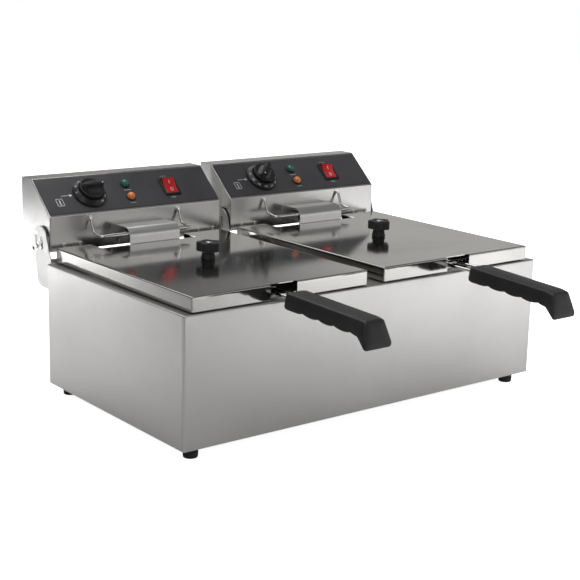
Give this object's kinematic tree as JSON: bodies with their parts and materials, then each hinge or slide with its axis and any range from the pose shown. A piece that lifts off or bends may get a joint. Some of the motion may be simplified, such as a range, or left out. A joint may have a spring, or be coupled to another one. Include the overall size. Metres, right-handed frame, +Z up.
{
  "type": "deep fryer",
  "caption": "Countertop electric deep fryer: stainless casing, oil pots with lids and wire baskets, lift-off control heads behind with dial, lamps and switch.",
  "frame": {"origin": "on the floor under the middle of the overall box", "axes": "+Z up; the front with the basket grips faces -Y; +X to the right seen from the front"},
  "size_m": [0.56, 0.5716, 0.2707],
  "materials": {
    "brushed_stainless": "brushed",
    "polished_stainless": "satin, half mirror",
    "chrome_wire": "bright",
    "black_plastic": "satin moulded",
    "black_rubber": "matt",
    "label_black": "fine matt film",
    "rocker_red": "gloss",
    "lens_green": "gloss",
    "lens_amber": "gloss",
    "ceramic": "unglazed",
    "element_sheath": "heat-tinted"
  },
  "bodies": {
    "body": {"casing": "brushed_stainless", "base_plate": "brushed_stainless", "foot_front_left": "black_rubber", "foot_front_right": "black_rubber", "foot_rear_left": "black_rubber", "foot_rear_right": "black_rubber", "oil_pot_left": "polished_stainless", "head_bracket_left": "brushed_stainless", "oil_pot_right": "polished_stainless", "head_bracket_right": "brushed_stainless"},
    "basket_left": {"basket_left": "chrome_wire", "basket_stirrup_left": "chrome_wire", "basket_grip_left": "black_plastic"},
    "lid_left": {"lid_left": "polished_stainless", "lid_knob_left": "black_plastic"},
    "head_left": {"head_housing_left": "brushed_stainless", "head_back_cover_left": "brushed_stainless", "label_panel_left": "label_black", "thermostat_left": "ceramic", "lamp_green_left": "lens_green", "lamp_amber_left": "lens_amber", "switch_body_left": "black_plastic", "heating_element_left": "element_sheath", "element_guard_left": "polished_stainless", "basket_hook_left": "chrome_wire", "sensor_bulb_left": "chrome_wire", "terminal_block_left": "ceramic", "cable_gland_left": "black_plastic", "head_studs_left_outer": "brushed_stainless", "head_studs_left_inner": "brushed_stainless"},
    "dial_left": {"thermostat_dial_left": "black_plastic"},
    "rocker_left": {"rocker_left": "rocker_red"},
    "reset_left": {"reset_button_left": "rocker_red"},
    "basket_right": {"basket_right": "chrome_wire", "basket_stirrup_right": "chrome_wire", "basket_grip_right": "black_plastic"},
    "lid_right": {"lid_right": "polished_stainless", "lid_knob_right": "black_plastic"},
    "head_right": {"head_housing_right": "brushed_stainless", "head_back_cover_right": "brushed_stainless", "label_panel_right": "label_black", "thermostat_right": "ceramic", "lamp_green_right": "lens_green", "lamp_amber_right": "lens_amber", "switch_body_right": "black_plastic", "heating_element_right": "element_sheath", "element_guard_right": "polished_stainless", "basket_hook_right": "chrome_wire", "sensor_bulb_right": "chrome_wire", "terminal_block_right": "ceramic", "cable_gland_right": "black_plastic", "head_studs_right_outer": "brushed_stainless", "head_studs_right_inner": "brushed_stainless"},
    "dial_right": {"thermostat_dial_right": "black_plastic"},
    "rocker_right": {"rocker_right": "rocker_red"},
    "reset_right": {"reset_button_right": "rocker_red"}
  },
  "joints": [
    {"name": "basket_left_lift", "type": "slide", "parent": "body", "child": "basket_left", "axis": [0, 0, 1], "range_m": [0, 0.12]},
    {"name": "lid_left_lift", "type": "slide", "parent": "basket_left", "child": "lid_left", "axis": [0, 0, 1], "range_m": [0, 0.1]},
    {"name": "head_left_lift", "type": "slide", "parent": "body", "child": "head_left", "axis": [0, 0, 1], "range_m": [0, 0.0115]},
    {"name": "dial_left_turn", "type": "hinge", "parent": "head_left", "child": "dial_left", "pos_m": [-0.201, 0.2343, 0.24594], "axis": [0, 0.6551, -0.7555], "range_deg": [0, 270]},
    {"name": "rocker_left_press", "type": "hinge", "parent": "head_left", "child": "rocker_left", "pos_m": [-0.077, 0.23351, 0.24684], "axis": [-1, 0, 0], "range_deg": [0, 20]},
    {"name": "reset_left_press", "type": "slide", "parent": "head_left", "child": "reset_left", "axis": [0, -1, 0], "range_m": [0, 0.0025], "stiffness_N_per_m": 400, "springref_m": -0.002},
    {"name": "basket_right_lift", "type": "slide", "parent": "body", "child": "basket_right", "axis": [0, 0, 1], "range_m": [0, 0.12]},
    {"name": "lid_right_lift", "type": "slide", "parent": "basket_right", "child": "lid_right", "axis": [0, 0, 1], "range_m": [0, 0.1]},
    {"name": "head_right_lift", "type": "slide", "parent": "body", "child": "head_right", "axis": [0, 0, 1], "range_m": [0, 0.0115]},
    {"name": "dial_right_turn", "type": "hinge", "parent": "head_right", "child": "dial_right", "pos_m": [0.079, 0.2343, 0.24594], "axis": [0, 0.6551, -0.7555], "range_deg": [-135, 135]},
    {"name": "rocker_right_press", "type": "hinge", "parent": "head_right", "child": "rocker_right", "pos_m": [0.203, 0.23351, 0.24684], "axis": [-1, 0, 0], "range_deg": [0, 20]},
    {"name": "reset_right_press", "type": "slide", "parent": "head_right", "child": "reset_right", "axis": [0, -1, 0], "range_m": [0, 0.0025], "stiffness_N_per_m": 400, "springref_m": -0.002}
  ]
}
